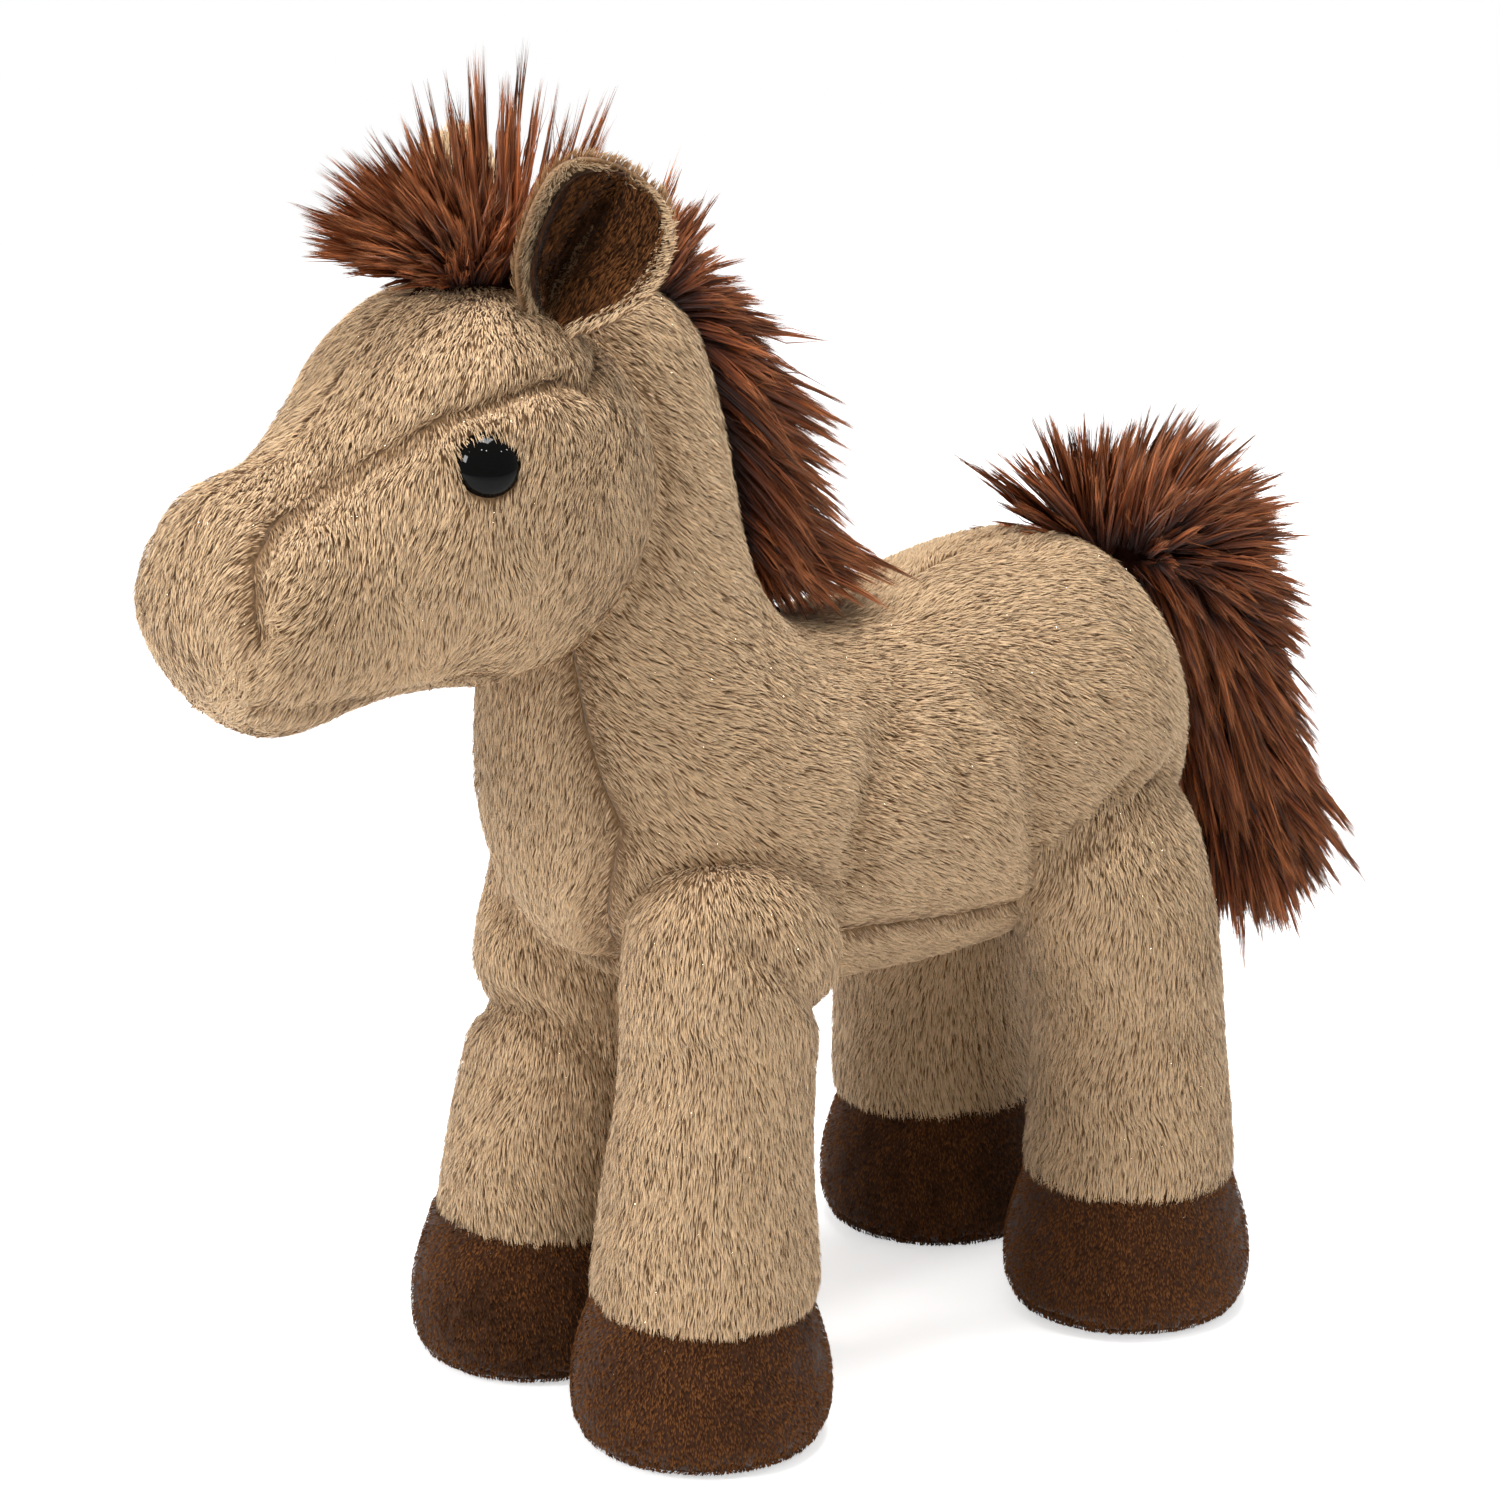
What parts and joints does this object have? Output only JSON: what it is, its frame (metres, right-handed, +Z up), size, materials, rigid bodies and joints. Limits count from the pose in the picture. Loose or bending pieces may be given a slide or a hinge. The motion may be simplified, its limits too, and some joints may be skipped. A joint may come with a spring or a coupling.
{
  "type": "plush horse",
  "caption": "Standing stuffed horse with a sewn tan pile cover, brown hoof covers and soles, cupped ears, domed eyes and long-pile mane, forelock and tail.",
  "frame": {"origin": "on the floor, midway between nose and tail and between left and right", "axes": "-Y the way the horse faces, +X its left side, +Z up"},
  "size_m": [0.15, 0.4148, 0.3611],
  "materials": {
    "tan_plush": "short combed pile, matt with a soft sheen",
    "brown_suede": "very short velvety pile, matt",
    "long_pile": "long pile in pointed locks, satin",
    "eye_gloss": "polished",
    "washer_nylon": "moulded",
    "fibre_filling": "loose polyester fibre"
  },
  "bodies": {
    "torso": {"body_side_left": "tan_plush", "body_side_right": "tan_plush", "chest_gusset": "tan_plush", "belly_gusset": "tan_plush", "body_filling": "fibre_filling", "neck_filling": "fibre_filling", "mane": "long_pile", "croup_tuft": "long_pile"},
    "head": {"head_top_gusset": "tan_plush", "head_side_left": "tan_plush", "head_side_right": "tan_plush", "chin_gusset": "tan_plush", "head_filling": "fibre_filling", "eye_left": "eye_gloss", "eye_right": "eye_gloss", "eye_washer_left": "washer_nylon", "eye_washer_right": "washer_nylon", "forelock": "long_pile"},
    "ear_left": {"ear_back_left": "tan_plush", "ear_lining_left": "brown_suede"},
    "ear_right": {"ear_back_right": "tan_plush", "ear_lining_right": "brown_suede"},
    "tail": {"tail": "long_pile"},
    "front_left_leg": {"front_left_leg_cover": "tan_plush", "front_left_hoof_cover": "brown_suede", "front_left_sole": "brown_suede", "front_left_leg_filling": "fibre_filling"},
    "front_right_leg": {"front_right_leg_cover": "tan_plush", "front_right_hoof_cover": "brown_suede", "front_right_sole": "brown_suede", "front_right_leg_filling": "fibre_filling"},
    "rear_left_leg": {"rear_left_leg_cover": "tan_plush", "rear_left_hoof_cover": "brown_suede", "rear_left_sole": "brown_suede", "rear_left_leg_filling": "fibre_filling"},
    "rear_right_leg": {"rear_right_leg_cover": "tan_plush", "rear_right_hoof_cover": "brown_suede", "rear_right_sole": "brown_suede", "rear_right_leg_filling": "fibre_filling"}
  },
  "joints": [
    {"name": "front_left_leg_swing", "type": "hinge", "parent": "torso", "child": "front_left_leg", "pos_m": [0.035, -0.06757, 0.134], "axis": [1, 0, 0], "range_deg": [-15, 15], "stiffness_Nm_per_rad": 1.2},
    {"name": "front_right_leg_swing", "type": "hinge", "parent": "torso", "child": "front_right_leg", "pos_m": [-0.035, -0.06757, 0.134], "axis": [1, 0, 0], "range_deg": [-15, 15], "stiffness_Nm_per_rad": 1.2},
    {"name": "rear_left_leg_swing", "type": "hinge", "parent": "torso", "child": "rear_left_leg", "pos_m": [0.03998, 0.07346, 0.12704], "axis": [1, 0, 0], "range_deg": [-15, 15], "stiffness_Nm_per_rad": 1.2},
    {"name": "rear_right_leg_swing", "type": "hinge", "parent": "torso", "child": "rear_right_leg", "pos_m": [-0.03998, 0.07346, 0.12704], "axis": [1, 0, 0], "range_deg": [-15, 15], "stiffness_Nm_per_rad": 1.2},
    {"name": "head_nod", "type": "hinge", "parent": "torso", "child": "head", "pos_m": [0, -0.12342, 0.25998], "axis": [1, 0, 0], "range_deg": [-10, 10], "stiffness_Nm_per_rad": 1.5},
    {"name": "ear_left_flop", "type": "hinge", "parent": "head", "child": "ear_left", "pos_m": [0.02498, -0.105, 0.30589], "axis": [0.4901, 0.7564, -0.4332], "range_deg": [-25, 20], "stiffness_Nm_per_rad": 0.02},
    {"name": "ear_right_flop", "type": "hinge", "parent": "head", "child": "ear_right", "pos_m": [-0.02498, -0.105, 0.30589], "axis": [0.4901, -0.7564, 0.4332], "range_deg": [-25, 20], "stiffness_Nm_per_rad": 0.02},
    {"name": "tail_lift", "type": "hinge", "parent": "torso", "child": "tail", "pos_m": [0, 0.10149, 0.2094], "axis": [1, 0, 0], "range_deg": [-5, 35], "stiffness_Nm_per_rad": 0.06}
  ]
}
